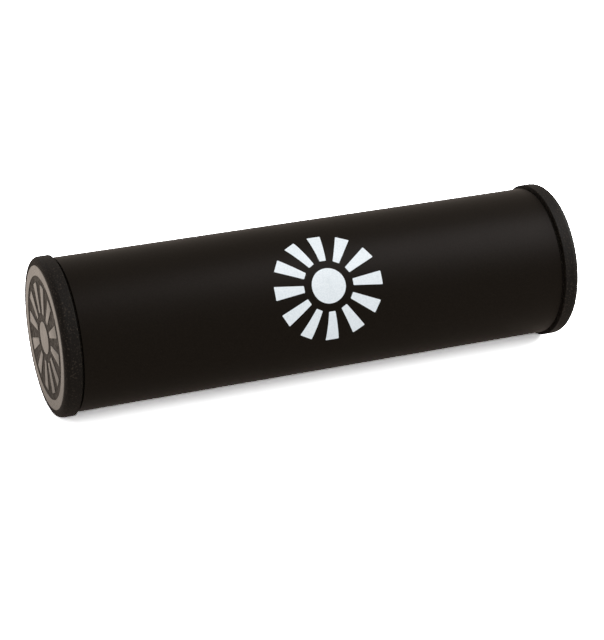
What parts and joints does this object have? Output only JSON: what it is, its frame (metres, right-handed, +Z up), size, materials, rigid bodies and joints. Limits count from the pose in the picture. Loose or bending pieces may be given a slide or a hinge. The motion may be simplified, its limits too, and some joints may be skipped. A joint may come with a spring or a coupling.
{
  "type": "percussion shaker",
  "caption": "Hand-held tube shaker: a black metal tube closed by moulded end caps, with loose steel shot that slides and swirls inside.",
  "frame": {"origin": "on the table under the middle of the tube, as the shaker lies on its side", "axes": "+X along the tube, +Z up"},
  "size_m": [0.2032, 0.0594, 0.0595],
  "materials": {
    "coated_tube": "satin black powder coat",
    "moulded_cap": "fine moulded grain, smoother on the face",
    "steel_shot": "bright rolled steel"
  },
  "bodies": {
    "shaker": {"tube": "coated_tube", "left_end_cap": "moulded_cap", "right_end_cap": "moulded_cap"},
    "shot_rank_01": {"shot_rank_01": "steel_shot"},
    "shot_rank_02": {"shot_rank_02": "steel_shot"},
    "shot_rank_03": {"shot_rank_03": "steel_shot"},
    "shot_rank_04": {"shot_rank_04": "steel_shot"},
    "shot_rank_05": {"shot_rank_05": "steel_shot"},
    "shot_rank_06": {"shot_rank_06": "steel_shot"},
    "shot_rank_07": {"shot_rank_07": "steel_shot"},
    "shot_rank_08": {"shot_rank_08": "steel_shot"},
    "shot_rank_09": {"shot_rank_09": "steel_shot"},
    "shot_rank_10": {"shot_rank_10": "steel_shot"},
    "shot_rank_11": {"shot_rank_11": "steel_shot"},
    "shot_rank_12": {"shot_rank_12": "steel_shot"},
    "shot_rank_13": {"shot_rank_13": "steel_shot"},
    "shot_rank_14": {"shot_rank_14": "steel_shot"},
    "shot_rank_15": {"shot_rank_15": "steel_shot"},
    "shot_rank_16": {"shot_rank_16": "steel_shot"},
    "shot_rank_17": {"shot_rank_17": "steel_shot"}
  },
  "joints": [
    {"name": "shot_slide", "type": "slide", "parent": "shaker", "child": "shot_rank_09", "axis": [1, 0, 0], "range_m": [-0.0345, 0.0345]},
    {"name": "shot_swirl_01", "type": "hinge", "parent": "shot_rank_09", "child": "shot_rank_01", "pos_m": [-0.04495, 0, 0.02975], "axis": [1, 0, 0], "continuous": true},
    {"name": "shot_swirl_02", "type": "hinge", "parent": "shot_rank_09", "child": "shot_rank_02", "pos_m": [-0.03934, 0, 0.02975], "axis": [1, 0, 0], "continuous": true},
    {"name": "shot_swirl_03", "type": "hinge", "parent": "shot_rank_09", "child": "shot_rank_03", "pos_m": [-0.03372, 0, 0.02975], "axis": [1, 0, 0], "continuous": true},
    {"name": "shot_swirl_04", "type": "hinge", "parent": "shot_rank_09", "child": "shot_rank_04", "pos_m": [-0.0281, 0, 0.02975], "axis": [1, 0, 0], "continuous": true},
    {"name": "shot_swirl_05", "type": "hinge", "parent": "shot_rank_09", "child": "shot_rank_05", "pos_m": [-0.02248, 0, 0.02975], "axis": [1, 0, 0], "continuous": true},
    {"name": "shot_swirl_06", "type": "hinge", "parent": "shot_rank_09", "child": "shot_rank_06", "pos_m": [-0.01686, 0, 0.02975], "axis": [1, 0, 0], "continuous": true},
    {"name": "shot_swirl_07", "type": "hinge", "parent": "shot_rank_09", "child": "shot_rank_07", "pos_m": [-0.01124, 0, 0.02975], "axis": [1, 0, 0], "continuous": true},
    {"name": "shot_swirl_08", "type": "hinge", "parent": "shot_rank_09", "child": "shot_rank_08", "pos_m": [-0.00562, 0, 0.02975], "axis": [1, 0, 0], "continuous": true},
    {"name": "shot_swirl_10", "type": "hinge", "parent": "shot_rank_09", "child": "shot_rank_10", "pos_m": [0.00562, 0, 0.02975], "axis": [1, 0, 0], "continuous": true},
    {"name": "shot_swirl_11", "type": "hinge", "parent": "shot_rank_09", "child": "shot_rank_11", "pos_m": [0.01124, 0, 0.02975], "axis": [1, 0, 0], "continuous": true},
    {"name": "shot_swirl_12", "type": "hinge", "parent": "shot_rank_09", "child": "shot_rank_12", "pos_m": [0.01686, 0, 0.02975], "axis": [1, 0, 0], "continuous": true},
    {"name": "shot_swirl_13", "type": "hinge", "parent": "shot_rank_09", "child": "shot_rank_13", "pos_m": [0.02248, 0, 0.02975], "axis": [1, 0, 0], "continuous": true},
    {"name": "shot_swirl_14", "type": "hinge", "parent": "shot_rank_09", "child": "shot_rank_14", "pos_m": [0.0281, 0, 0.02975], "axis": [1, 0, 0], "continuous": true},
    {"name": "shot_swirl_15", "type": "hinge", "parent": "shot_rank_09", "child": "shot_rank_15", "pos_m": [0.03372, 0, 0.02975], "axis": [1, 0, 0], "continuous": true},
    {"name": "shot_swirl_16", "type": "hinge", "parent": "shot_rank_09", "child": "shot_rank_16", "pos_m": [0.03934, 0, 0.02975], "axis": [1, 0, 0], "continuous": true},
    {"name": "shot_swirl_17", "type": "hinge", "parent": "shot_rank_09", "child": "shot_rank_17", "pos_m": [0.04495, 0, 0.02975], "axis": [1, 0, 0], "continuous": true}
  ]
}
